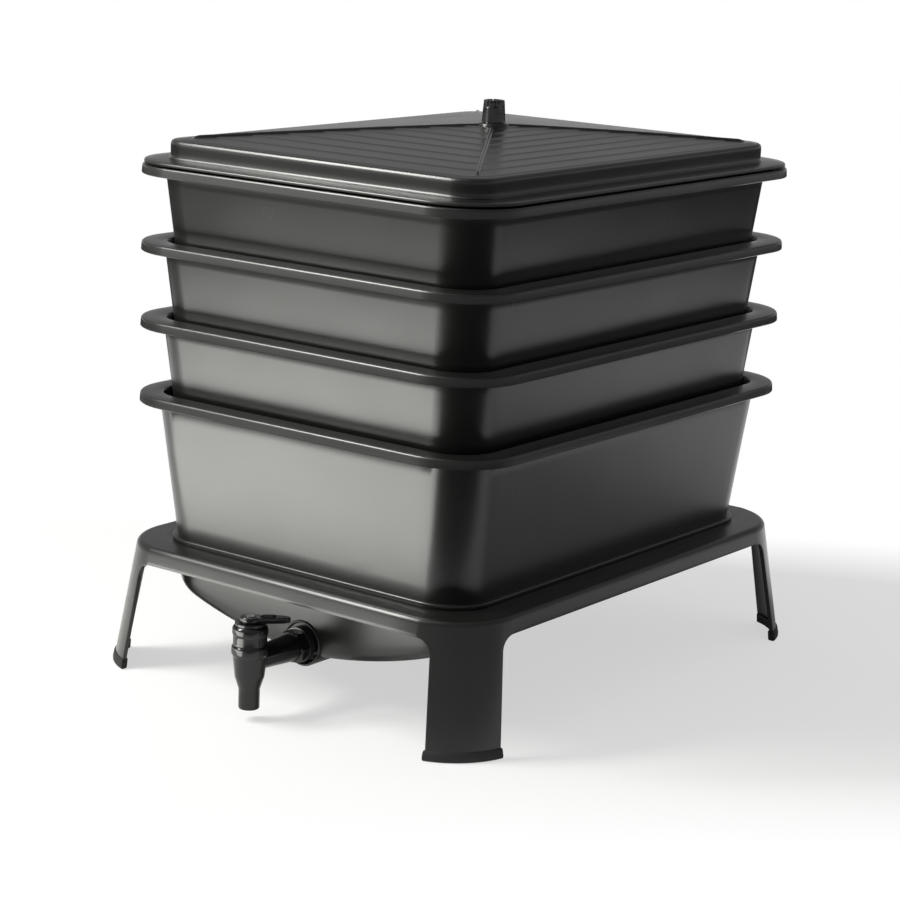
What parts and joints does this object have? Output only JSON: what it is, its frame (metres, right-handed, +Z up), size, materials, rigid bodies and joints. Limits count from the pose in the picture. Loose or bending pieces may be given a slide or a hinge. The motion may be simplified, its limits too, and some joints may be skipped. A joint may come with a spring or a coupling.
{
  "type": "wormery",
  "caption": "Black plastic stacking wormery: worm trays with a stepped hip-roof lid over a liquid collector with a tap, on a ring stand with shell legs.",
  "frame": {"origin": "on the floor, under the middle of the whole outline, tap included", "axes": "+Z up; the tap faces -Y; +X to the right as seen from the tap side"},
  "size_m": [0.4246, 0.5656, 0.5],
  "materials": {
    "black_plastic": "moulded polypropylene with a satin sheen",
    "tap_plastic": "glossy black moulding",
    "pad_rubber": "dull black rubber",
    "seal_rubber": "dull black rubber",
    "screw_steel": "zinc plated"
  },
  "bodies": {
    "base": {"stand": "black_plastic", "collector": "black_plastic", "foot_pad_front_left": "pad_rubber", "foot_pad_front_right": "pad_rubber", "foot_pad_back_left": "pad_rubber", "foot_pad_back_right": "pad_rubber", "tap_body": "tap_plastic", "tap_nut": "tap_plastic", "tap_washer_outer": "seal_rubber", "tap_washer_inner": "seal_rubber"},
    "tap_key": {"tap_plug": "tap_plastic", "tap_o_rings": "seal_rubber", "tap_lever": "tap_plastic", "tap_lever_screw": "screw_steel"},
    "tray_3": {"tray_3": "black_plastic"},
    "tray_2": {"tray_2": "black_plastic"},
    "tray_1": {"tray_1": "black_plastic"},
    "lid": {"lid": "black_plastic", "lid_knob": "black_plastic", "knob_washer": "screw_steel", "knob_screw": "screw_steel"}
  },
  "joints": [
    {"name": "tap_turn", "type": "hinge", "parent": "base", "child": "tap_key", "pos_m": [0, -0.26737, 0.084], "axis": [0, 0, -1], "range_deg": [0, 90]},
    {"name": "tray_3_lift", "type": "slide", "parent": "base", "child": "tray_3", "axis": [0, 0, 1], "range_m": [0, 0.07]},
    {"name": "tray_2_lift", "type": "slide", "parent": "tray_3", "child": "tray_2", "axis": [0, 0, 1], "range_m": [0, 0.07]},
    {"name": "tray_1_lift", "type": "slide", "parent": "tray_2", "child": "tray_1", "axis": [0, 0, 1], "range_m": [0, 0.07]},
    {"name": "lid_lift", "type": "slide", "parent": "tray_1", "child": "lid", "axis": [0, 0, 1], "range_m": [0, 0.2]}
  ]
}
